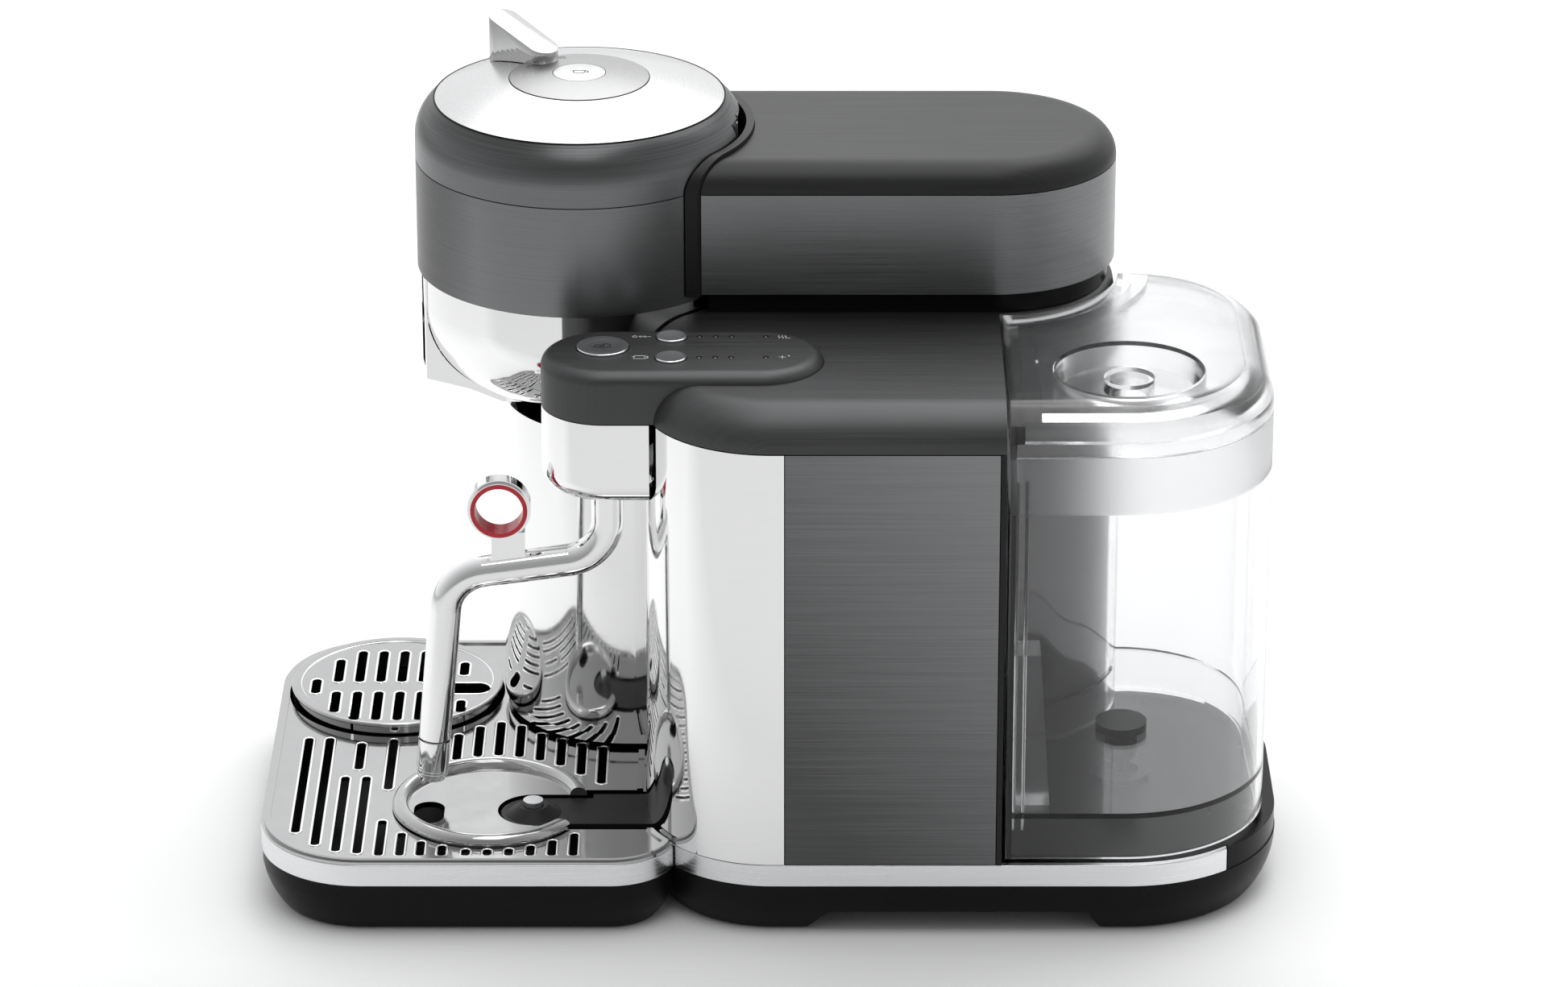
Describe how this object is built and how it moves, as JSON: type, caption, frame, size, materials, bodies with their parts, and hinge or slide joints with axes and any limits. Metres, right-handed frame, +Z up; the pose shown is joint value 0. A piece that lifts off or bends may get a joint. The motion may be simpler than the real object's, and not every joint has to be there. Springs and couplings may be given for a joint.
{
  "type": "pod coffee machine",
  "caption": "Countertop pod coffee machine with an overhanging round brew head, lever lid, steam wand pod, drip tray, capsule bin and clear rear water tank.",
  "frame": {"origin": "middle of the outer box, on the surface the machine stands on", "axes": "+Z up, -Y the front with the drip tray, +X the control side"},
  "size_m": [0.235, 0.43, 0.3385],
  "materials": {
    "dark_metal": "brushed dark grey",
    "polished": "polished",
    "satin": "satin",
    "black_plastic": "fine texture",
    "dark_plastic": "smooth",
    "clear": "clear moulded",
    "red": "smooth",
    "rubber": "matt",
    "steel": "plain",
    "alloy": "cast",
    "brass": "machined",
    "board": "printed board"
  },
  "bodies": {
    "housing": {"base_moulding": "black_plastic", "rubber_feet": "rubber", "chrome_strip": "satin", "side_panel": "dark_metal", "front_skin": "polished", "far_panel": "dark_metal", "seam_post": "dark_plastic", "body_cap": "dark_metal", "column": "dark_plastic", "arm_plinth": "black_plastic", "arm_shell": "dark_metal", "arm_cover": "dark_metal", "trim_band": "dark_plastic", "head_band": "dark_metal", "bowl": "polished", "nose": "polished", "coffee_spout": "black_plastic", "bin_bay": "black_plastic", "bin_deck": "polished", "sensor_arm": "dark_plastic", "chassis": "steel", "pump": "steel", "thermoblock": "alloy", "circuit_board": "board", "steam_valve": "brass", "drum_motor": "steel", "drum_bearing": "steel", "drive_belt": "rubber", "cord_inlet": "black_plastic", "screws": "steel", "control_cover": "dark_metal", "pod_shell": "polished", "control_board": "board", "pivot_pins": "steel"},
    "head_lid": {"lid_shell": "dark_metal", "dome": "satin"},
    "brew_key": {"brew_button": "satin"},
    "lock": {"dial": "satin", "lock_lever": "polished"},
    "drum": {"capsule_drum": "dark_plastic"},
    "motor_wheel": {"motor_pulley": "steel"},
    "steam_key": {"steam_button": "satin"},
    "foam_key": {"foam_button": "satin"},
    "heat_key": {"heat_button": "satin"},
    "wand": {"steam_wand": "polished", "grip_ring": "polished", "wand_tip": "polished", "ring_sleeve": "red"},
    "sensor": {"milk_sensor": "satin"},
    "tray": {"tray_pan": "black_plastic", "tray_band": "satin", "tray_plate": "polished", "jug_rest": "polished"},
    "grate": {"cup_grate": "polished"},
    "bin": {"capsule_bin": "polished", "bin_cup": "black_plastic"},
    "tank": {"water_tank": "clear", "float_guide": "clear", "tank_valve": "black_plastic"},
    "lid": {"tank_lid": "clear"}
  },
  "joints": [
    {"name": "lid_hinge", "type": "hinge", "parent": "housing", "child": "head_lid", "pos_m": [-0.0475, -0.016, 0.305], "axis": [-1, 0, 0], "range_deg": [0, 62]},
    {"name": "brew_press", "type": "slide", "parent": "head_lid", "child": "brew_key", "axis": [0, 0, -1], "range_m": [0, 0.0012], "stiffness_N_per_m": 400},
    {"name": "lock_turn", "type": "hinge", "parent": "head_lid", "child": "lock", "pos_m": [-0.0475, -0.0805, 0.32], "axis": [0, 0, 1], "range_deg": [0, 38]},
    {"name": "drum_spin", "type": "hinge", "parent": "housing", "child": "drum", "pos_m": [-0.0475, -0.0805, 0.24], "axis": [0, 0, 1], "continuous": true},
    {"name": "motor_spin", "type": "hinge", "parent": "housing", "child": "motor_wheel", "pos_m": [-0.0015, -0.0805, 0.2], "axis": [0, 0, 1], "continuous": true},
    {"name": "steam_press", "type": "slide", "parent": "housing", "child": "steam_key", "axis": [0, 0, -1], "range_m": [0, 0.0012], "stiffness_N_per_m": 400},
    {"name": "foam_press", "type": "slide", "parent": "housing", "child": "foam_key", "axis": [0, 0, -1], "range_m": [0, 0.0012], "stiffness_N_per_m": 400},
    {"name": "heat_press", "type": "slide", "parent": "housing", "child": "heat_key", "axis": [0, 0, -1], "range_m": [0, 0.0012], "stiffness_N_per_m": 400},
    {"name": "wand_lift", "type": "hinge", "parent": "housing", "child": "wand", "pos_m": [0.06, -0.0675, 0.198], "axis": [-1, 0, 0], "range_deg": [0, 35]},
    {"name": "sensor_press", "type": "slide", "parent": "housing", "child": "sensor", "axis": [0, 0, -1], "range_m": [0, 0.0012], "stiffness_N_per_m": 400},
    {"name": "tray_slide", "type": "slide", "parent": "housing", "child": "tray", "axis": [0, -1, 0], "range_m": [0, 0.17]},
    {"name": "grate_lift", "type": "slide", "parent": "tray", "child": "grate", "axis": [0, 0, 1], "range_m": [0, 0.06]},
    {"name": "bin_slide", "type": "slide", "parent": "housing", "child": "bin", "axis": [0, -1, 0], "range_m": [0, 0.115]},
    {"name": "tank_lift", "type": "slide", "parent": "housing", "child": "tank", "axis": [0, 0, 1], "range_m": [0, 0.2]},
    {"name": "lid_lift", "type": "slide", "parent": "tank", "child": "lid", "axis": [0, 0, 1], "range_m": [0, 0.08]}
  ],
  "couplings": [
    {"joint": "motor_spin", "follows": "drum_spin", "ratio": 2.6667}
  ]
}
